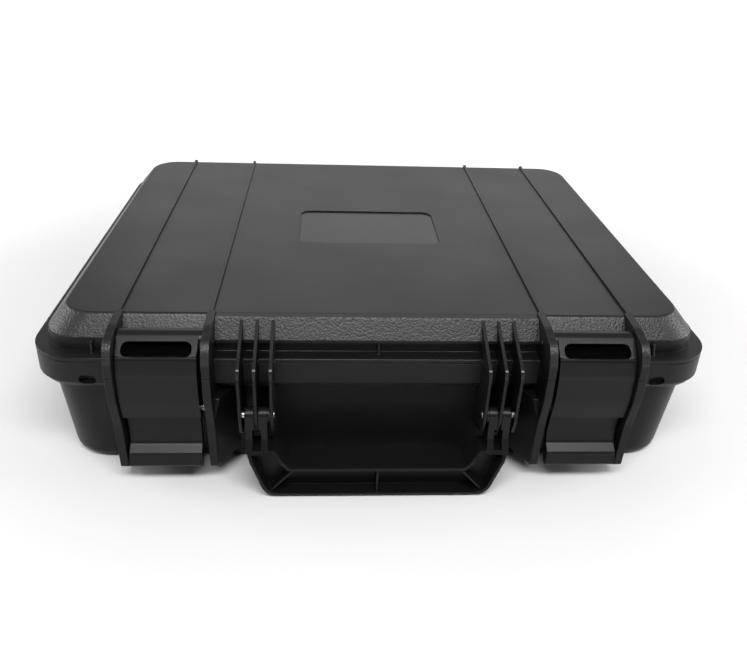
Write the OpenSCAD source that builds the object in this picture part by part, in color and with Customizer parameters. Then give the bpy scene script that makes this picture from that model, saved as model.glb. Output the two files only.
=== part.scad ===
// Hard plastic carrying case: moulded base and lid, two snap latches, a swinging front handle,
// two rear hinges, a rim gasket and a foam set.
// Origin: centre of the flat underside. +X is right, +Y is back (hinge side), +Z is up.

/* [Overall] */
// Width over the rim flange
case_w = 397; // [385:1:410]
// Depth over the rim flange
case_d = 331; // [315:1:345]
// Height of the lid's flat top
case_h = 98; // [96:0.5:102]
// Height of the joint between base and lid
seam_z = 76; // [75:0.5:77]
// Plan radius of the rim flange's corners
flange_r = 28; // [24:1:32]
// Wall thickness of both shells
wall = 4; // [3.5:0.1:4.2]

/* [Lid] */
// Height of the lid's rim flange
lid_flange_h = 2.5; // [2.2:0.1:2.8]
// Height of the upright lid wall above its flange
lid_wall_h = 8; // [7:0.5:9]
// Distance from the flange edge in to the lid wall, at the front and the back
lid_wall_inset = 9.5; // [9:0.1:10.5]
// Distance from the flange edge in to the lid wall, at the sides
lid_side_inset = 7.5; // [7:0.1:9]
// Height of the thin ribs on the lid's top
top_rib_h = 1.3; // [1:0.1:2]
// Depth of the blank label recess
label_depth = 1.0; // [0.6:0.1:1.5]

/* [Ears and gussets] */
// Distance from the middle to the inner ears
inner_ear_x = 95.3; // [95:0.1:95.6]
// Distance from the middle to the outer ears
outer_ear_x = 147.2; // [147:0.1:147.6]
// Thickness of an ear
ear_t = 4.6; // [4.2:0.1:4.8]
// Thickness of a handle gusset
gusset_t = 1.8; // [1.6:0.1:2.2]

/* [Pins] */
// Radius of the rear hinge pins
hinge_pin_r = 2; // [1.8:0.1:2.2]
// Radius of the latch pivot pins
latch_pin_r = 1.5; // [1.3:0.1:1.6]
// Radius of the catch pins in the base ears
catch_pin_r = 2; // [1.8:0.1:2]
// Radius of the handle pins
handle_pin_r = 2; // [1.8:0.1:2.2]
// Radial clearance of a running fit
run_fit = 0.05; // [0.02:0.01:0.08]

/* [Handle] */
// Depth of the handle grip, front to back
grip_d = 20; // [18:0.5:20.5]
// Height of the handle grip
grip_h = 20; // [18:0.5:21]

/* [Foam] */
// Width of the pocket in the foam frame
pocket_w = 250; // [200:5:280]
// Depth of the pocket in the foam frame
pocket_d = 190; // [150:5:210]

/* [Hidden] */
$fn = 96;
hull_fn = 32;

half_w = case_w / 2;
half_d = case_d / 2;
seam_gap = 0.3;                       // the two shells stay this far apart at the seam
base_top = seam_z - seam_gap / 2;
lid_bottom = seam_z + seam_gap / 2;
ledge_z = lid_bottom + lid_flange_h - seam_gap / 2;
lid_wall_top = ledge_z + lid_wall_h;
chamfer_x = 10;                       // how far the lid's side chamfers run in
chamfer_d = 9;                        // how far its front and back chamfers run in
base_flange_h = 17;
base_flange_z = seam_z - base_flange_h;
flange_foot_h = 4;                    // the base flange's lower edge leans in over this height
skirt_t = 2.2;                        // thickness of the base flange's hanging skirt
ear_mid = (inner_ear_x + outer_ear_x) / 2;
latch_w = outer_ear_x - inner_ear_x - ear_t - 3.3;
latch_x = ear_mid + 1.15;             // nearer the outer ear than the inner one
lip_w = latch_w - 2.4;                // the finger lip is narrower than the latch
barrel_w = outer_ear_x - inner_ear_x - ear_t - 0.6;     // the latch's barrel fills the gap between the ears
latch_pivot = [163, 89.2];            // distance forward of the middle, height
barrel_r = 6.6;
latch_slope = 40;                     // fall of the latch's upper face
latch_shoulder = latch_pivot + barrel_r * [sin(latch_slope), cos(latch_slope)];
catch_at = [167.5, 47.5];
hook_r = norm(catch_at - latch_pivot) + catch_pin_r + 0.25;
hook_tip = -80.5;                     // angle of the hook's tip about the pivot
handle_pivot = [179.5, 50.5];
hinge_at = [176.5, seam_z];           // distance behind the middle, height
knuckle_r = 6.5;
gusset_x = [60.3, 69.2, 78.1];
prong_x = [64.8, 73.4];
prong_t = 3.8;
ear_front = 183.5;                    // how far forward the ears reach
gusset_front = 186;
groove_in = [2.7, 7.7];               // gasket groove, as distances in from the flange edge
tongue_in = [4.1, 6.3];
gasket_in = [3.0, 7.4];
groove_z = seam_z - 4.4;
tongue_z = seam_z - 1.9;
eye_x = 164.5;                        // lanyard eyes in the base flange
eye_z = 64.2;
tick_x = [-161.7, 0, 161.7];          // small upright ribs in the recess under the lid's brow

shell_colour = [0.07, 0.07, 0.075];
latch_colour = [0.08, 0.08, 0.09];
steel_colour = [0.7, 0.71, 0.73];
seal_colour = [0.03, 0.03, 0.03];
foam_colour = [0.16, 0.16, 0.17];

// ---------- outlines ----------

function unit(v) = v / norm(v);

// Points of the arc that rounds the corner b between a and c.
function corner(a, b, c, r, n) =
    r <= 0 ? [b] :
    let (u = unit(a - b), v = unit(c - b), half = acos(u * v) / 2,
         centre = b + unit(u + v) * r / sin(half),
         p = b + u * r / tan(half), q = b + v * r / tan(half),
         start = atan2(p.y - centre.y, p.x - centre.x),
         raw = atan2(q.y - centre.y, q.x - centre.x) - start,
         turn = raw > 180 ? raw - 360 : raw < -180 ? raw + 360 : raw)
    [for (i = [0 : n]) centre + r * [cos(start + turn * i / n), sin(start + turn * i / n)]];

// A closed outline from [x, y, corner radius] entries.
function rounded(p, n = 8) =
    [for (i = [0 : len(p) - 1])
        let (a = p[(i + len(p) - 1) % len(p)], b = p[i], c = p[(i + 1) % len(p)])
        each corner([a.x, a.y], [b.x, b.y], [c.x, c.y], b[2], n)];

// Points on an arc about centre.
function arc(centre, r, from, to, n = 8) =
    [for (i = [0 : n]) let (a = from + (to - from) * i / n) centre + r * [cos(a), sin(a)]];

// Rounded rectangle in plan, given its half sizes.
module plan(hx, hy, r) {
    square([2 * hx, 2 * (hy - r)], center = true);
    square([2 * (hx - r), 2 * hy], center = true);
    for (x = [-1, 1], y = [-1, 1])
        translate([x * (hx - r), y * (hy - r)]) circle(r);
}

// Plan outline a given distance in from the rim flange's edge.
module rim(inset) {
    plan(half_w - inset, half_d - inset, flange_r - inset);
}

module rim_ring(outer, inner, z0, z1) {
    translate([0, 0, z0]) linear_extrude(z1 - z0) difference() {
        rim(outer);
        rim(inner);
    }
}

// One hull through plan outlines [half x, half y, radius, height].
module loft(levels) {
    hull() for (s = levels)
        translate([0, 0, s[3]]) linear_extrude(0.01) plan(s[0], s[1], s[2], $fn = hull_fn);
}

// A plate of thickness t at x, from an outline in (forward, up).
module front_plate(x, t, outline) {
    translate([x + t / 2, 0, 0]) rotate([90, 0, -90]) linear_extrude(t) polygon(outline);
}

// A plate of thickness t at x, from an outline in (backward, up).
module back_plate(x, t, outline) {
    translate([x - t / 2, 0, 0]) rotate([90, 0, 90]) linear_extrude(t) polygon(outline);
}

// A cylinder along X from x0 to x1, forward and up as given.
module front_rod(x0, x1, at, r) {
    translate([x0, -at.x, at.y]) rotate([0, 90, 0]) cylinder(h = x1 - x0, r = r);
}

module back_rod(x0, x1, at, r) {
    translate([x0, at.x, at.y]) rotate([0, 90, 0]) cylinder(h = x1 - x0, r = r);
}

// ---------- base ----------

base_top_half = [half_w - 5.5, half_d - 5.5, 24];
base_low_half = [half_w - 11, half_d - 11.5, 24];
base_edge_r = 7;

// The tub's outer faces: a rounded lower edge and walls with draft.
module base_outer() {
    loft(concat(
        [for (a = [0 : 22.5 : 90]) let (cut = base_edge_r * (1 - sin(a)))
            [base_low_half.x - cut, base_low_half.y - cut, base_low_half.z - cut / 2,
             base_edge_r * (1 - cos(a))]],
        [[base_top_half.x, base_top_half.y, base_top_half.z, base_top - 0.02]]));
}

// The tub's hollow.
module base_hollow() {
    loft([[base_low_half.x - 10, base_low_half.y - 10, 14, wall],
          [base_low_half.x - wall + 0.4, base_low_half.y - wall + 0.4, 20, wall + 5.5],
          [half_w - 9.5, half_d - 9.5, 18.5, seam_z + 1]]);
}

// Outline of a base ear, rooted in the wall.
base_ear = rounded([[153, 12, 0], [158.4, base_top, 0], [ear_front, base_top, 0],
                    [ear_front, 62, 30], [178.6, 42, 30], [176.5, 11, 2.5], [171, 9.5, 2]]);

// The inner ears widen towards the wall on the handle's side.
module ear_buttress(side) {
    intersection() {
        front_plate(side * (inner_ear_x - 6), 16, rounded([[153, 12, 0], [157, 56, 0],
            [172, 56, 0], [178.6, 42, 12], [176.5, 13, 2.5], [171, 11.5, 2]]));
        linear_extrude(60) polygon([[side * inner_ear_x, -152], [side * inner_ear_x, -177.5],
            [side * (inner_ear_x - 2), -177.5], [side * (inner_ear_x - 13), -157],
            [side * (inner_ear_x - 13), -152]]);
    }
}

// Outline of a handle gusset below the seam.
base_gusset = rounded([[156.5, 30, 0], [158.5, base_top, 0], [gusset_front, base_top, 0],
                       [184.5, 48, 8], [181.5, 39, 3], [170, 34.5, 6]]);

// Outline of a base knuckle lug at the back.
base_lug = concat([[157.5, 44], [159.5, base_top], [170, base_top]],
                  arc(hinge_at, knuckle_r, 180, -30, 16), [[166, 50]]);

module lanyard_eye(side) {
    translate([side * eye_x, -half_d + 4.3, eye_z]) rotate([90, 0, 0]) {
        for (x = [-1.6, 1.6]) translate([x, 0, 0]) cylinder(h = 8, r = 3.2);
        translate([-1.6, -3.2, 0]) cube([3.2, 6.4, 8]);
    }
}

module base_shell() {
    color(shell_colour) difference() {
        union() {
            base_outer();
            difference() {
                union() {
                    rim_ring(0, 8, base_flange_z + flange_foot_h - 0.5, base_top);
                    loft([[half_w - 2.6, half_d - 2.6, flange_r - 2.6, base_flange_z],
                          [half_w - 0.1, half_d - 0.1, flange_r, base_flange_z + flange_foot_h]]);
                }
                rim_ring(skirt_t + 1.6, 5.4, base_flange_z - 1, base_flange_z + flange_foot_h);
                rim_ring(skirt_t, 4.6, base_flange_z + flange_foot_h - 1, groove_z - 2);
            }
            for (side = [-1, 1]) {
                for (x = [inner_ear_x, outer_ear_x]) {
                    front_plate(side * x, ear_t, base_ear);
                    back_plate(side * x, ear_t - 1, [[152.5, 12], [158, 59], [164.5, 59], [164, 50],
                                                     [160, 14], [158, 12]]);
                }
                ear_buttress(side);
                for (x = gusset_x) front_plate(side * x, gusset_t, base_gusset);
                for (x = [-14.95, 14.95]) back_plate(side * (ear_mid + x), 16.8, base_lug);
            }
        }
        base_hollow();
        rim_ring(groove_in.x, groove_in.y, groove_z, seam_z + 1);
        for (side = [-1, 1]) {
            mid = side * ear_mid;
            front_rod(mid - 30, mid + 30, catch_at, catch_pin_r + run_fit);
            back_rod(mid - 30, mid + 30, hinge_at, hinge_pin_r + run_fit);
            front_rod(side * 69.2 - 12, side * 69.2 + 12, handle_pivot, handle_pin_r + run_fit);
            lanyard_eye(side);
            for (x = [inner_ear_x, outer_ear_x])          // grooves that seat another lid's ribs
                translate([side * x - 1.4, -half_d, -1]) cube([2.8, case_d, 1 + top_rib_h + 0.4]);
        }
    }
}

// ---------- lid ----------

lid_wall_half = [half_w - lid_side_inset, half_d - lid_wall_inset];
lid_top_half = [lid_wall_half.x - chamfer_x, lid_wall_half.y - chamfer_d];
lid_top_r = 20;

module lid_outer() {
    rim_ring(0, 20, lid_bottom, ledge_z);
    translate([0, 0, ledge_z - 2]) linear_extrude(lid_wall_h + 2)
        plan(lid_wall_half.x, lid_wall_half.y, 20);
    loft([[lid_wall_half.x - 0.15, lid_wall_half.y - 0.15, 19.9, lid_wall_top - 0.3],
          [lid_top_half.x + 0.9, lid_top_half.y + 0.9, lid_top_r, case_h - 1],
          [lid_top_half.x - 0.9, lid_top_half.y - 0.9, lid_top_r - 1.8, case_h - 0.01]]);
}

module lid_hollow() {
    translate([0, 0, lid_bottom - 3]) linear_extrude(lid_wall_top - lid_bottom)
        plan(half_w - 11.5, half_d - 13, 16);
    loft([[half_w - 11.8, half_d - 13.3, 16, lid_wall_top - 3.5],
          [lid_top_half.x - 3, lid_top_half.y - 3, 12, case_h - wall]]);
}

// Front block between the inner ears, which overhangs the recess over the rim.
lid_brow = rounded([[147.5, 86, 0], [146, case_h - 0.1, 0], [150.3, case_h - 0.1, 1.2],
                    [158.2, lid_wall_top, 1.2], [158.2, lid_wall_top - 1.8, 0.4],
                    [155, lid_wall_top - 2.6, 0]]);

// Outline of a front lid ear.
lid_ear = rounded([[153.8, lid_bottom, 0], [153.8, lid_wall_top, 0], [145.5, 95.5, 0],
                   [145.5, case_h + top_rib_h, 0], [163, case_h + 0.6, 20], [179, 95, 10],
                   [ear_front, 85, 14], [ear_front, lid_bottom, 0]]);

// Outline of a handle gusset above the seam.
lid_gusset = rounded([[153.8, lid_bottom, 0], [153.8, lid_wall_top, 0], [149, 95, 0],
                      [150.6, 96.6, 0], [184.6, 82.4, 4], [gusset_front, 77.6, 2],
                      [gusset_front, lid_bottom, 0]]);

// Outline of a rear lid ear, which ends in a hinge knuckle.
lid_back_ear = concat(
    rounded([[153.8, lid_bottom, 0], [153.8, lid_wall_top, 0], [145.5, 95.5, 0],
             [145.5, case_h - 0.6, 0], [154, 93.4, 6], [172, 87.4, 12], [181, 83.4, 4],
             [183, 79, 0]]),
    arc(hinge_at, knuckle_r, 0, -180, 16), [[170, lid_bottom]]);

// The thin rib's raised end, over the lid's back chamfer.
rib_end = rounded([[136, case_h - 1, 0], [136, case_h + top_rib_h, 0], [140, case_h + top_rib_h, 4],
                   [145, case_h + top_rib_h + 1, 2], [148.6, case_h + top_rib_h, 1], [152, 93.5, 0],
                   [146, 92, 0]]);

lid_lug = concat([[160, lid_bottom], [160, ledge_z], [166, 84], [174, 86], [182, 81]],
                 arc(hinge_at, knuckle_r, 0, -180, 16), [[170, lid_bottom]]);

module lid_shell() {
    color(shell_colour) difference() {
        union() {
            lid_outer();
            front_plate(0, 2 * inner_ear_x - ear_t + 0.5, lid_brow);
            for (x = tick_x)
                front_plate(x, 1.4, [[154, ledge_z - 1], [154, 85], [157.6, 85], [160.5, ledge_z - 1]]);
            rim_ring(tongue_in.x, tongue_in.y, tongue_z, lid_bottom + 1);
            for (side = [-1, 1]) {
                for (x = [inner_ear_x, outer_ear_x]) {
                    front_plate(side * x, ear_t, lid_ear);
                    back_plate(side * x, ear_t, lid_back_ear);
                    translate([side * x - 0.9, -147, case_h - 1]) cube([1.8, 294, 1 + top_rib_h]);
                    back_plate(side * x, 1.8, rib_end);
                }
                for (x = gusset_x) front_plate(side * x, gusset_t, lid_gusset);
                back_plate(side * ear_mid, 12, lid_lug);
            }
        }
        lid_hollow();
        translate([0, -7.5, case_h - label_depth]) linear_extrude(5) plan(49.5, 32, 7);
        for (side = [-1, 1]) {
            mid = side * ear_mid;
            front_rod(mid - 30, mid + 30, latch_pivot, latch_pin_r + run_fit);
            back_rod(mid - 30, mid + 30, hinge_at, hinge_pin_r + run_fit);
        }
    }
}

module rim_gasket() {
    color(seal_colour) rim_ring(gasket_in.x, gasket_in.y, groove_z + 0.1, tongue_z - 0.4);
}

// ---------- latches ----------

// Skin from the pivot barrel down to the finger lip, with the hook's step on its inner face.
latch_skin = concat(
    rounded([[latch_shoulder.x, latch_shoulder.y, 0], [177.6, 85.6, 5], [180.4, 75, 16], [180.4, 60, 40], [177.4, 46.6, 0.6],
             [173.6, 44.4, 1.5], [172, 34, 8], [173.2, 26.5, 4], [178.6, 22.4, 2.5], [179.8, 14.4, 2],
             [177.2, 12.2, 1.2], [173.6, 12.8, 1], [170, 20, 4], [168, 31, 8], [169.3, 44.2, 0]]),
    arc(latch_pivot, hook_r, hook_tip, hook_tip + 6, 4),
    rounded([[175.6, 50.5, 0], [177, 62, 30], [176.8, 74, 12], [174.4, 83, 4], [166, 89.5, 0]]));

// Side flange that stiffens the skin.
latch_side = rounded([[163, 84.5, 0], [166.8, 93.6, 0], [177.1, 85.2, 5], [179.9, 75, 16], [179.9, 60, 40],
                      [177, 47.4, 0.6], [173.8, 45.4, 0], [172, 49.5, 1], [170, 60, 10],
                      [168.4, 78, 4]]);

// Floor of the window near the top, deeper at its upper end.
window_floor = [[166, 89.7], [176.3, 84.4], [174.5, 82], [165, 86.5]];

module latch(side) {
    x0 = side * latch_x;
    color(latch_colour) difference() {
        union() {
            difference() {
                union() {
                    front_plate(x0, latch_w, latch_skin);
                    front_rod(side * ear_mid - barrel_w / 2, side * ear_mid + barrel_w / 2,
                              latch_pivot, barrel_r);
                }
                translate([x0, -173.4, 89.1]) rotate([latch_slope, 0, 0]) // window near the top
                    linear_extrude(8.4, center = true) plan(19, 4.6, 4);
            }
            front_plate(x0, latch_w - 1, window_floor);
            for (x = [-1, 1]) front_plate(x0 + x * (latch_w - 2.4) / 2, 2.4, latch_side);
        }
        front_rod(x0 - 30, x0 + 30, latch_pivot, latch_pin_r + run_fit);
        for (x = [-1, 1])                                  // step in to the narrower lip
            translate([x0 + x * (lip_w / 2 + 5) - 5, -190, 0]) cube([10, 30, 45.2]);
    }
}

module latch_pin(side) {
    x0 = side * ear_mid;
    color(steel_colour) front_rod(x0 - 27.9, x0 + 27.9, latch_pivot, latch_pin_r);
}

module catch_pin(side) {
    x0 = side * ear_mid;
    color(steel_colour) front_rod(x0 - 27.9, x0 + 27.9, catch_at, catch_pin_r);
}

// ---------- handle ----------

handle_bottom = 1;
grip_back = 171.5;
grip_front = grip_back + grip_d;
rib_front = -grip_front + 1.6;        // the ribs in the front hollow stand back from its rim
arm_x = prong_x[1] + prong_t / 2;     // outer face of the arms
arm_in = prong_x[0] - prong_t / 2;
grip_top = handle_bottom + grip_h;
shoulder_z = grip_top + 10;           // where the forked arms rise from the bow
slot_w = prong_x[1] - prong_x[0] - prong_t;

// Front view of the handle: a wide shallow bow between two pairs of prongs.
handle_front = rounded([
    [-arm_x, 60, 0], [-arm_x, shoulder_z, 3], [-64.4, handle_bottom, 11],
    [64.4, handle_bottom, 11], [arm_x, shoulder_z, 3], [arm_x, 60, 0],
    [arm_in, 60, 0], [arm_in, shoulder_z, 0.6], [59, shoulder_z, 1.5], [50.5, grip_top, 3],
    [-50.5, grip_top, 3], [-59, shoulder_z, 1.5], [-arm_in, shoulder_z, 0.6], [-arm_in, 60, 0]]);

// Side view of the handle: round eyes at the top, a deep grip below.
handle_side = concat(arc(handle_pivot, 4.8, 0, 180, 12),
    rounded([[handle_pivot.x - 4.8, 36, 0], [grip_back, 25, 4], [grip_back, handle_bottom, 4],
             [grip_front, handle_bottom, 1.5], [grip_front, 25, 5], [188, shoulder_z, 2],
             [184.8, 37, 3], [handle_pivot.x + 4.8, 43, 0]]));

// Hollow in the handle's front face, inside its rim.
handle_pocket = rounded([
    [-arm_x + 2.6, shoulder_z - 2, 1], [-63, handle_bottom + 2, 9], [63, handle_bottom + 2, 9],
    [arm_x - 2.6, shoulder_z - 2, 1], [60.2, shoulder_z - 2, 1], [51.2, grip_top - 1.8, 3],
    [-51.2, grip_top - 1.8, 3], [-60.2, shoulder_z - 2, 1]]);

module handle_outline(outline, front, back) {
    translate([0, -back, 0]) rotate([90, 0, 0]) linear_extrude(front - back) polygon(outline);
}

module handle() {
    color(shell_colour) difference() {
        union() {
            intersection() {
                handle_outline(handle_front, grip_front + 1, grip_back - 1);
                front_plate(0, 160, handle_side);
            }
            for (side = [-1, 1]) {                     // bosses that fill the gaps to the gussets
                front_rod(side * 64.6 - 3.1, side * 64.6 + 3.1, handle_pivot, 4.6);
                front_rod(side * 73 - 2.6, side * 73 + 2.6, handle_pivot, 4.6);
            }
        }
        for (side = [-1, 1]) {
            // slot between the prongs, for the middle gusset
            translate([side * 69.1 - slot_w / 2, -200, shoulder_z]) cube([slot_w, 60, 12]);
            translate([side * 69.2 - 1.2, -200, shoulder_z]) cube([2.4, 60, 40]);
            front_rod(side * 69.2 - 12, side * 69.2 + 12, handle_pivot, handle_pin_r + run_fit);
        }
        difference() {
            handle_outline(handle_pocket, grip_front + 2, grip_front - 9);
            translate([-0.7, rib_front, 0]) cube([1.4, 40, 40]);
            for (side = [-1, 1])                       // mitre ribs where the bow turns up
                translate([side * 54.6, rib_front, 12]) rotate([0, -side * 42, 0])
                    translate([-0.7, 0, -20]) cube([1.4, 40, 40]);
        }
    }
}

module handle_pin(side) {
    color(steel_colour)
        front_rod(side * 69.2 - 10, side * 69.2 + 10, handle_pivot, handle_pin_r);
}

module hinge_pin(side) {
    x0 = side * ear_mid;
    color(steel_colour) back_rod(x0 - 27.9, x0 + 27.9, hinge_at, hinge_pin_r);
}

// ---------- foam ----------

module foam_lid() {
    color(foam_colour) translate([0, 0, 78]) linear_extrude(case_h - wall - 78.2)
        plan(lid_top_half.x - 4, lid_top_half.y - 4, 12);
}

module foam_frame() {
    color(foam_colour) translate([0, 0, 14.4]) linear_extrude(59) difference() {
        plan(half_w - 15.2, half_d - 15.6, 18);
        plan(pocket_w / 2, pocket_d / 2, 8);
    }
}

module foam_base() {
    color(foam_colour) translate([0, 0, wall + 0.2]) linear_extrude(10)
        plan(base_low_half.x - 10.4, base_low_half.y - 10.4, 13.6);
}

base_shell();
lid_shell();
rim_gasket();
latch(-1);  // latch_left
latch(1);  // latch_right
latch_pin(-1);  // latch_pin_left
latch_pin(1);  // latch_pin_right
catch_pin(-1);  // catch_pin_left
catch_pin(1);  // catch_pin_right
handle();
handle_pin(-1);  // handle_pin_left
handle_pin(1);  // handle_pin_right
hinge_pin(-1);  // hinge_pin_left
hinge_pin(1);  // hinge_pin_right
foam_lid();
foam_frame();
foam_base();
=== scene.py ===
"""Looks of a hard plastic carrying case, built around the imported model.

Everything is in metres in the model's own frame: +X right, +Y back (hinge side), +Z up.
The CAD nodes keep their shape and get rounded edges and moulded materials. The three foam
nodes are replaced by cut foam.
"""

import math

import bmesh
import bpy
from mathutils import Matrix, Vector


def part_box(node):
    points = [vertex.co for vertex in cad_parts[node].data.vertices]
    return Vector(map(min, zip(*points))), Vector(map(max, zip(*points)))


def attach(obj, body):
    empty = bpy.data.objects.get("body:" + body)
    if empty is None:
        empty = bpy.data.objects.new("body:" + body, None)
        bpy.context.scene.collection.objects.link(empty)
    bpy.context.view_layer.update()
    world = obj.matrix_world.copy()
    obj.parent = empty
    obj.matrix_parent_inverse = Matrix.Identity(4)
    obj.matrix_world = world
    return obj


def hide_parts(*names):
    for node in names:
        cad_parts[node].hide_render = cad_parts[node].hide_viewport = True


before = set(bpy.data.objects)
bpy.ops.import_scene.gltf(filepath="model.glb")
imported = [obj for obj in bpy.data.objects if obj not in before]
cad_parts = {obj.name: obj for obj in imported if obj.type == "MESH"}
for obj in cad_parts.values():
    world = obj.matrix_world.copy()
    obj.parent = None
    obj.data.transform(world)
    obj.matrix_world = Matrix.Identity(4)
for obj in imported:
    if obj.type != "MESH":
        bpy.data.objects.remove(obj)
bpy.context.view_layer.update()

MM = 0.001

# Heights of the lid's features. The roof is measured from the top of the foam under it.
lid_roof = 4.2 * MM
lid_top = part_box("foam_lid")[1].z + lid_roof
lid_wall_top = lid_top - 11.5 * MM
label_floor = lid_top - 1.0 * MM

# Black plastic: the shells' and latches' colour, the handle's, the near-black of the painted shade in the
# latches' windows, and how strongly flat faces reflect
black = (0.0050, 0.0050, 0.0054)
latch_black = (0.0050, 0.0050, 0.0056)
handle_black = (0.0040, 0.0040, 0.0044)
shadow_black = (0.0008, 0.0008, 0.0009)
shine = 0.2

# The lid's grain: size and depth of one pebble
pebble = 1.15 * MM
pebble_depth = 0.20 * MM

# The latches' windows, where shade is painted: middle in y and z, half width and half height, and how far
# they lean back
latch_x = 122.4 * MM
window_middle = (-173.4 * MM, 89.1 * MM)
window_half = (19.2 * MM, 4.8 * MM)
window_slope = math.radians(40)
window_edge = 0.6 * MM

# Foam: colour, rounding of its rims, and where the grid lines lie that draw the rounding
foam_grey = (0.030, 0.030, 0.032)
foam_rim = 2.5 * MM
rim_steps = (0.4 * MM, 1.2 * MM, 2.6 * MM)


# ---------- camera, light and stage ----------


def add_camera(place=(-30.36, -540.85, 302.7), angles=(4.03, -28.81, 2.31), lens=37.164):
    """The camera stands in front of the case, to the left of its middle, and looks down on it.

    Place is in millimetres, angles are yaw, pitch and roll in degrees, and lens is in millimetres.
    """
    yaw, pitch, roll = (math.radians(angle) for angle in angles)
    ahead = Vector((math.sin(yaw) * math.cos(pitch), math.cos(yaw) * math.cos(pitch), math.sin(pitch)))
    level = Vector((math.cos(yaw), -math.sin(yaw), 0))
    above = level.cross(ahead)
    right = level * math.cos(roll) + above * math.sin(roll)
    up = above * math.cos(roll) - level * math.sin(roll)
    data = bpy.data.cameras.new("camera")
    data.sensor_width = 36
    data.lens = lens
    data.clip_start = 0.01
    camera = bpy.data.objects.new("camera", data)
    turn = Matrix((right, up, -ahead)).transposed().to_4x4()
    camera.matrix_world = Matrix.Translation(Vector(place) * MM) @ turn
    bpy.context.scene.collection.objects.link(camera)
    bpy.context.scene.camera = camera


def add_softbox(name, place, size, power):
    """A rectangular soft light at place, aimed at the middle of the case."""
    data = bpy.data.lights.new(name, "AREA")
    data.shape = "RECTANGLE"
    data.size, data.size_y = size
    data.energy = power
    light = bpy.data.objects.new(name, data)
    light.location = place
    aim = Vector((0, 0, 0.05)) - light.location
    light.rotation_euler = aim.to_track_quat("-Z", "Y").to_euler()
    bpy.context.scene.collection.objects.link(light)


def add_world(front=0.08, back=0.62):
    """A pale surround that is brighter behind the case than in front of it."""
    world = bpy.data.worlds.new("studio")
    bpy.context.scene.world = world
    world.use_nodes = True
    tree = world.node_tree
    direction = tree.nodes.new("ShaderNodeTexCoord").outputs["Generated"]
    split = tree.nodes.new("ShaderNodeSeparateXYZ")
    tree.links.new(direction, split.inputs[0])
    ramp = tree.nodes.new("ShaderNodeMapRange")
    ramp.interpolation_type = "SMOOTHSTEP"
    ramp.inputs["From Min"].default_value = -0.9
    ramp.inputs["From Max"].default_value = 0.9
    ramp.inputs["To Min"].default_value = front
    ramp.inputs["To Max"].default_value = back
    tree.links.new(split.outputs["Y"], ramp.inputs["Value"])
    tree.links.new(ramp.outputs[0], tree.nodes["Background"].inputs["Strength"])
    tree.nodes["Background"].inputs["Color"].default_value = (1, 1, 1, 1)


def add_floor(half=30.0):
    """A square floor that reaches half metres each way."""
    mesh = bpy.data.meshes.new("floor")
    corners = [(-half, -half, 0), (half, -half, 0), (half, half, 0), (-half, half, 0)]
    mesh.from_pydata(corners, [], [(0, 1, 2, 3)])
    floor = bpy.data.objects.new("floor", mesh)
    bpy.context.scene.collection.objects.link(floor)
    floor.data.materials.append(floor_material())


# ---------- materials ----------


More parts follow.
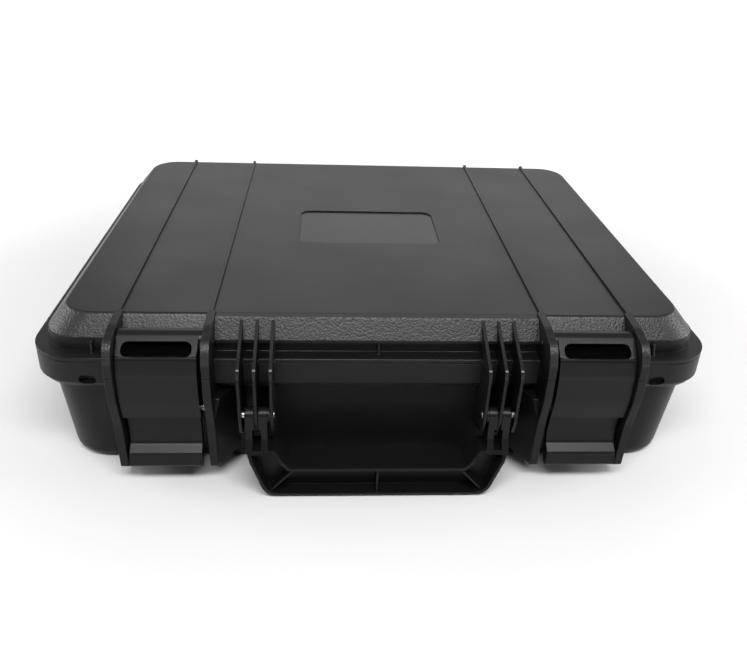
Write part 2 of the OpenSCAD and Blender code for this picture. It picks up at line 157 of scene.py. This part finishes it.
class Surface:
    """A node material under construction: the Principled shader and short ways to add nodes."""

    def __init__(self, name, colour, roughness, specular=0.5, metallic=0.0):
        self.material = bpy.data.materials.new(name)
        self.material.use_nodes = True
        self.tree = self.material.node_tree
        self.shader = self.tree.nodes["Principled BSDF"]
        self.set("Base Color", (*colour, 1))
        self.set("Roughness", roughness)
        self.set("Specular IOR Level", specular)
        self.set("Metallic", metallic)
        self.coords = self.tree.nodes.new("ShaderNodeTexCoord")

    def set(self, socket, value):
        self.shader.inputs[socket].default_value = value

    def link(self, output, socket):
        self.tree.links.new(output, self.shader.inputs[socket])

    def node(self, kind, inputs=None, **settings):
        """Adds a node, sets its properties, and sets or links its inputs."""
        made = self.tree.nodes.new(kind)
        for key, value in settings.items():
            setattr(made, key, value)
        for key, value in (inputs or {}).items():
            if isinstance(value, bpy.types.NodeSocket):
                self.tree.links.new(value, made.inputs[key])
            else:
                made.inputs[key].default_value = value
        return made

    def place(self):
        """Coordinates in metres that stay with the piece when it moves."""
        return self.coords.outputs["Object"]

    def noise(self, size, detail=2.0, rough=0.5, vector=None):
        """Noise from 0 to 1 whose blobs are about size metres across."""
        made = self.node("ShaderNodeTexNoise", {"Vector": vector or self.place(), "Scale": 1 / size,
                                                "Detail": detail, "Roughness": rough})
        return made.outputs["Fac"]

    def cells(self, size, feature="SMOOTH_F1", vector=None):
        """Cell distance pattern whose cells are about size metres across."""
        made = self.node("ShaderNodeTexVoronoi", {"Vector": vector or self.place(), "Scale": 1 / size},
                         feature=feature)
        return made.outputs["Distance"]

    def math(self, operation, a, b=0.0, c=0.0, clamp=False):
        return self.node("ShaderNodeMath", {0: a, 1: b, 2: c}, operation=operation,
                         use_clamp=clamp).outputs[0]

    def ramp(self, value, low, high, to_low=0.0, to_high=1.0):
        """Maps value smoothly from low..high to to_low..to_high."""
        return self.node("ShaderNodeMapRange", {"Value": value, "From Min": low, "From Max": high,
                                                "To Min": to_low, "To Max": to_high},
                         interpolation_type="SMOOTHSTEP").outputs[0]

    def axis(self, output, name):
        return self.node("ShaderNodeSeparateXYZ", {0: output}).outputs[name]

    def mix(self, amount, a, b):
        """Colour a where amount is 0 and b where it is 1."""
        made = self.node("ShaderNodeMix", {0: amount}, data_type="RGBA")
        for socket, colour in ((made.inputs[6], a), (made.inputs[7], b)):
            socket.default_value = (*colour, 1)
        return made.outputs[2]

    def warped(self, amount):
        """Coordinates shifted by up to amount metres, so that cells lose their straight edges."""
        blob = 1.1 * MM
        shift = self.node("ShaderNodeTexNoise", {"Vector": self.place(), "Scale": 1 / blob, "Detail": 1.0})
        centred = self.node("ShaderNodeVectorMath", {0: shift.outputs["Color"], 1: (0.5, 0.5, 0.5)},
                            operation="SUBTRACT").outputs[0]
        scaled = self.node("ShaderNodeVectorMath", {0: centred, "Scale": 2 * amount},
                           operation="SCALE").outputs[0]
        return self.node("ShaderNodeVectorMath", {0: self.place(), 1: scaled},
                         operation="ADD").outputs[0]

    def bump(self, height, depth, below=None):
        """Bump of the given depth in metres for heights from 0 to 1, on top of another bump."""
        inputs = {"Height": height, "Distance": depth, "Strength": 1.0}
        if below:
            inputs["Normal"] = below
        return self.node("ShaderNodeBump", inputs).outputs["Normal"]


def moulded(name, colour, roughness):
    """Injection-moulded plastic with a fine matte grain and faint flow variation.

    The grain and the roughness stay at hand as look.grain and look.rough.
    """
    look = Surface(name, colour, roughness, shine)
    look.grain = look.bump(look.noise(0.45 * MM, 3.0, 0.6), 0.010 * MM)
    look.rough = look.math("MULTIPLY_ADD", look.noise(55 * MM, 3.0), 0.12, roughness - 0.06)
    look.link(look.rough, "Roughness")
    look.link(look.grain, "Normal")
    return look


def textured_shell():
    """Shell plastic: satin flats, shinier rounded edges and label field, pebbled slopes on the lid."""
    look = moulded("shell_plastic", black, 0.42)
    up = look.axis(look.coords.outputs["Normal"], "Z")
    height = look.axis(look.place(), "Z")
    sloping = look.math("MULTIPLY", look.ramp(up, 0.10, 0.30), look.ramp(up, 0.90, 0.985, 1.0, 0.0))
    on_lid = look.ramp(height, lid_wall_top - 1.5 * MM, lid_wall_top + 0.5 * MM)
    pebbled = look.math("MULTIPLY", sloping, on_lid)
    edges = look.math("SUBTRACT", sloping, pebbled, clamp=True)
    below_top = look.ramp(height, label_floor + 0.15 * MM, label_floor + 0.45 * MM, 1.0, 0.0)
    label = look.math("MULTIPLY", below_top,
                      look.ramp(height, label_floor - 0.5 * MM, label_floor - 0.2 * MM))

    gaps = look.cells(pebble, vector=look.warped(0.35 * MM))
    domes = look.math("SUBTRACT", 1.0, gaps, clamp=True)
    relief = look.math("MULTIPLY", domes, pebbled)
    look.link(look.bump(relief, pebble_depth, look.grain), "Normal")

    rough = look.math("MULTIPLY_ADD", pebbled, 0.04, look.rough)
    rough = look.math("MULTIPLY_ADD", edges, -0.10, rough)
    rough = look.math("MULTIPLY_ADD", label, -0.03, rough)
    look.link(rough, "Roughness")
    reflection = look.math("MULTIPLY_ADD", sloping, 0.22, shine)
    reflection = look.math("MULTIPLY_ADD", label, 0.07, reflection)
    look.link(reflection, "Specular IOR Level")
    return look.material


def latch_surface():
    """Smooth satin latch plastic with painted shade, near-black and barely reflecting, in the window near
    the latch's top.
    """
    look = moulded("latch_plastic", latch_black, 0.34)
    place = look.node("ShaderNodeSeparateXYZ", {0: look.place()}).outputs
    sine, cosine = math.sin(window_slope), math.cos(window_slope)
    middle_y, middle_z = window_middle
    out = look.math("SUBTRACT", middle_y, place["Y"])
    up = look.math("SUBTRACT", place["Z"], middle_z)
    height = look.math("MULTIPLY_ADD", out, sine, look.math("MULTIPLY", up, cosine))
    down = look.math("MULTIPLY_ADD", out, cosine, look.math("MULTIPLY", up, -sine))
    across = look.math("SUBTRACT", look.math("ABSOLUTE", place["X"]), latch_x)
    # Painted shade: within the window the colour goes to near-black and the reflection drops, standing in
    # for the shade in the deep pocket.
    window_shade = look.ramp(height, -1.4 * MM, -0.4 * MM, 1.0, 0.0)
    for offset, half in ((down, window_half[1]), (across, window_half[0])):
        away = look.math("ABSOLUTE", offset)
        window_shade = look.math("MULTIPLY", window_shade, look.ramp(away, half, half + window_edge, 1.0, 0.0))
    look.link(look.math("MULTIPLY_ADD", window_shade, -0.9 * shine, shine), "Specular IOR Level")
    look.link(look.mix(window_shade, latch_black, shadow_black), "Base Color")
    return look.material


def steel():
    """Drawn steel rod with fine rings across it."""
    look = Surface("steel", (0.62, 0.63, 0.65), 0.28, metallic=1.0)
    along = look.node("ShaderNodeMapping", {"Vector": look.place(), "Scale": (6, 1, 1)}).outputs[0]
    lines = look.noise(0.8 * MM, 4.0, 0.6, along)
    look.link(look.math("MULTIPLY_ADD", lines, 0.16, 0.20), "Roughness")
    look.link(look.bump(lines, 0.008 * MM), "Normal")
    return look.material


def rubber():
    """Matt seal rubber with a faint bloom."""
    look = Surface("rubber", (0.012, 0.012, 0.012), 0.75, 0.3)
    bloom = look.ramp(look.noise(6 * MM, 4.0, 0.6), 0.35, 0.75)
    look.link(look.mix(bloom, (0.010, 0.010, 0.010), (0.026, 0.026, 0.027)), "Base Color")
    look.link(look.bump(look.noise(0.4 * MM, 3.0), 0.03 * MM), "Normal")
    return look.material


def foam():
    """Open-cell foam: small pits between soft walls, with painted shade darkening the pits and the walls
    painted lighter.
    """
    look = Surface("foam", foam_grey, 0.95, 0.1)
    pits = look.cells(1.1 * MM, "F1", look.warped(0.35 * MM))
    fine = look.cells(0.5 * MM, "F1")
    depth = look.math("ADD", look.ramp(pits, 0.1, 0.6), look.math("MULTIPLY", fine, 0.4))
    # Painted shade and light: the pits, which are the same hollows as the bump, get a darker copy of the
    # foam grey, and the walls between them get a lighter one.
    shade = look.ramp(pits, 0.15, 0.65)
    shaded_grey = tuple(0.35 * part for part in foam_grey)
    light = tuple(1.35 * part for part in foam_grey)
    look.link(look.mix(shade, light, shaded_grey), "Base Color")
    look.link(look.bump(look.math("SUBTRACT", 1.0, depth), 0.45 * MM), "Normal")
    look.set("Sheen Weight", 0.25)
    look.set("Sheen Roughness", 0.6)
    return look.material


def floor_material():
    """White paper that glows further out, so that it stays white up to the horizon."""
    look = Surface("paper", (0.60, 0.60, 0.60), 0.75, 0.2)
    away = look.node("ShaderNodeVectorMath", {0: look.place()}, operation="LENGTH").outputs["Value"]
    look.set("Emission Color", (1, 1, 1, 1))
    look.link(look.ramp(away, 0.25, 0.9, 0.0, 1.0), "Emission Strength")
    return look.material


# ---------- CAD nodes ----------


def dress(node, material, edge, angle=32, offset="ABSOLUTE"):
    """Gives a CAD node its material, and rounds its edges sharper than angle degrees by edge metres.

    Coplanar triangles are joined first. The width isn't clamped, since one short edge would then stop
    the rounding everywhere.
    """
    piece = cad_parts[node]
    piece.data.materials.clear()
    piece.data.materials.append(material)
    weld = piece.modifiers.new("weld", "WELD")
    weld.merge_threshold = 0.002 * MM
    flat = piece.modifiers.new("flat", "DECIMATE")
    flat.decimate_type = "DISSOLVE"
    flat.angle_limit = math.radians(0.6)
    bevel = piece.modifiers.new("bevel", "BEVEL")
    bevel.width = edge
    bevel.segments = 2
    bevel.limit_method = "ANGLE"
    bevel.angle_limit = math.radians(angle)
    bevel.use_clamp_overlap = False
    bevel.offset_type = offset
    bevel.loop_slide = offset == "ABSOLUTE"
    normals = piece.modifiers.new("normals", "WEIGHTED_NORMAL")
    normals.keep_sharp = False
    normals.weight = 80


def add_piece(name, mesh, material, body, node):
    """Puts a finished mesh in the scene in place of a CAD node."""
    piece = bpy.data.objects.new(name, mesh)
    bpy.context.scene.collection.objects.link(piece)
    piece.data.materials.append(material)
    for face in piece.data.polygons:
        face.use_smooth = True
    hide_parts(node)
    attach(piece, body)


# ---------- foam ----------


def at_corner(x, y, half_x, half_y, radius):
    """Bends the grid's square corners to the rounded outline."""
    corner_x, corner_y = half_x - radius, half_y - radius
    u, v = abs(x) - corner_x, abs(y) - corner_y
    if u <= 0 or v <= 0:
        return x, y
    shrink = max(u, v) / math.hypot(u, v)
    return math.copysign(corner_x + u * shrink, x), math.copysign(corner_y + v * shrink, y)


def foam_block(node, radius, xs, ys, under, over, hole=None):
    """A closed block on the grid xs by ys, between the heights under(x, y, edge) and over(x, y, edge).

    Edge is the distance in from the outline. Hole is the half size of an opening through the block.
    """
    half_x, half_y = xs[-1], ys[-1]
    middle = sum(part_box(node), Vector()) / 2
    bm = bmesh.new()

    def layer(height):
        points = {}
        for i, x in enumerate(xs):
            for j, y in enumerate(ys):
                edge = min(half_x - abs(x), half_y - abs(y))
                px, py = at_corner(x, y, half_x, half_y, radius)
                points[i, j] = (middle.x + px, middle.y + py, height(x, y, edge))
        return points

    lower, upper = layer(under), layer(over)
    made = {}

    def corner(side, key):
        if (side, key) not in made:
            made[side, key] = bm.verts.new((lower, upper)[side][key])
        return made[side, key]

    def kept(i, j):
        if not (0 <= i < len(xs) - 1 and 0 <= j < len(ys) - 1):
            return False
        centre = abs(xs[i] + xs[i + 1]) / 2, abs(ys[j] + ys[j + 1]) / 2
        return not (hole and centre[0] < hole[0] and centre[1] < hole[1])

    for i in range(len(xs) - 1):
        for j in range(len(ys) - 1):
            if not kept(i, j):
                continue
            ring = [(i, j), (i + 1, j), (i + 1, j + 1), (i, j + 1)]
            bm.faces.new([corner(1, key) for key in ring])
            bm.faces.new([corner(0, key) for key in reversed(ring)])
            for k, neighbour in enumerate(((i, j - 1), (i + 1, j), (i, j + 1), (i - 1, j))):
                if not kept(*neighbour):
                    a, b = ring[k], ring[(k + 1) % 4]
                    bm.faces.new((corner(0, a), corner(0, b), corner(1, b), corner(1, a)))
    mesh = bpy.data.meshes.new(node)
    bm.to_mesh(mesh)
    bm.free()
    mesh.set_sharp_from_angle(angle=math.radians(55))
    return mesh


def half_size(node):
    """Half the width and half the depth of a CAD node's box."""
    low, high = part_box(node)
    return (high.x - low.x) / 2, (high.y - low.y) / 2


def grid_lines(half, count):
    """Even lines from -half to half, with extra ones close to both ends for the rounded rim."""
    lines = {round(-half + 2 * half * k / count, 7) for k in range(count + 1)}
    lines |= {side * (half - step) for step in rim_steps for side in (-1, 1)}
    return sorted(lines)


def rounded_rim(edge, radius):
    """How far a rim rounded to radius has dropped at a distance edge from its outline."""
    if edge >= radius:
        return 0.0
    return radius - math.sqrt(radius ** 2 - (radius - edge) ** 2)


def crate_foam(waves_x=14, waves_y=11, steps=8, valley=7 * MM):
    """The lid's convoluted foam: a flat back and rows of soft peaks that point down.

    The foam is valley metres thick between the peaks, and each wave gets that many steps.
    """
    low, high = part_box("foam_lid")
    half_x, half_y = half_size("foam_lid")
    pitch_x, pitch_y = 2 * half_x / waves_x, 2 * half_y / waves_y

    def peaks(x, y, edge):
        wave = math.cos(2 * math.pi * x / pitch_x) * math.cos(2 * math.pi * y / pitch_y)
        depth = valley + (high.z - low.z - valley) * (0.5 + 0.5 * wave) ** 0.8
        return high.z - depth + rounded_rim(edge, foam_rim)

    def back(x, y, edge):
        return high.z

    xs, ys = grid_lines(half_x, steps * waves_x), grid_lines(half_y, steps * waves_y)
    return foam_block("foam_lid", 12 * MM, xs, ys, peaks, back)


def cell_foam(pocket=(125 * MM, 95 * MM), torn=(20, 15), left=3):
    """Pick-and-pluck foam: cells scored from above, with the middle ones torn out for the pocket.

    Pocket is its half size, torn is how many cells it took each way, and left is how many rows of
    cells are left on each side of it.
    """
    low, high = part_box("foam_frame")
    half_x, half_y = half_size("foam_frame")
    score = (0.35 * MM, 0.8 * MM, 2.2 * MM)
    cut_depth, shoulder_depth = 2.6 * MM, 0.5 * MM

    def cuts(inner, count):
        """Cell cuts along one axis, over the pocket and the cells left beside it."""
        cell = 2 * inner / count
        return [-inner - left * cell + k * cell for k in range(count + 2 * left + 1)]

    def scored(all_cuts, half):
        """The cuts with their shoulders, and the rim."""
        lines = {cut + side * step for cut in all_cuts for step in (0, *score) for side in (-1, 1)}
        lines |= {side * (half - step) for step in (0, *rim_steps) for side in (-1, 1)}
        return sorted({round(line, 7) for line in lines})

    x_cuts, y_cuts = (cuts(inner, count) for inner, count in zip(pocket, torn))
    xs, ys = scored(x_cuts, half_x), scored(y_cuts, half_y)

    def groove(value, all_cuts):
        """How deep the nearest cut and its rounded shoulders are at this place."""
        away = min(abs(value - cut) for cut in all_cuts)
        cut = cut_depth * max(0, 1 - away / score[1]) ** 1.5
        shoulder = shoulder_depth * max(0, 1 - away / score[2]) ** 2
        return cut + shoulder

    def top(x, y, edge):
        drop = rounded_rim(edge, foam_rim)
        if abs(y) <= y_cuts[-1] + score[0]:
            drop = max(drop, groove(x, x_cuts))
        if abs(x) <= x_cuts[-1] + score[0]:
            drop = max(drop, groove(y, y_cuts))
        return high.z - drop

    def bottom(x, y, edge):
        return low.z

    return foam_block("foam_frame", 18 * MM, xs, ys, bottom, top, pocket)


def floor_foam():
    """The flat pad under the cell foam, a little fuller in the middle."""
    low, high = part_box("foam_base")
    half_x, half_y = half_size("foam_base")

    def top(x, y, edge):
        crown = 0.5 * MM * min(1, (x / half_x) ** 2 + (y / half_y) ** 2)
        return high.z - crown - rounded_rim(edge, foam_rim)

    def bottom(x, y, edge):
        return low.z + rounded_rim(edge, 1.5 * MM)

    return foam_block("foam_base", 13.6 * MM, grid_lines(half_x, 24), grid_lines(half_y, 18), bottom, top)


# ---------- build ----------

add_camera()
add_world()
add_softbox("overhead_softbox", (0.05, -0.95, 1.35), (1.5, 0.35), 34)
add_softbox("back_softbox", (0.15, 1.7, 0.95), (1.8, 0.5), 5)
add_softbox("left_softbox", (-1.4, 0.1, 0.4), (0.9, 0.6), 12)
add_softbox("right_softbox", (1.4, -0.1, 0.4), (0.9, 0.6), 14)
add_floor()

shell_plastic = textured_shell()
latch_plastic = latch_surface()
handle_plastic = moulded("handle_plastic", handle_black, 0.38).material
pin_steel = steel()

for name in ("base_shell", "lid_shell"):
    dress(name, shell_plastic, 0.4 * MM)
for side in ("left", "right"):
    dress(f"latch_{side}", latch_plastic, 0.35 * MM, angle=45, offset="OFFSET")
    for pin in ("latch", "catch", "handle", "hinge"):
        dress(f"{pin}_pin_{side}", pin_steel, 0.3 * MM)
dress("handle", handle_plastic, 0.4 * MM)
dress("rim_gasket", rubber(), 0.3 * MM)

case_foam = foam()
add_piece("lid_foam", crate_foam(), case_foam, "lid", "foam_lid")
add_piece("frame_foam", cell_foam(), case_foam, "base", "foam_frame")
add_piece("floor_foam", floor_foam(), case_foam, "base", "foam_base")

bpy.context.scene.view_settings.view_transform = "Standard"
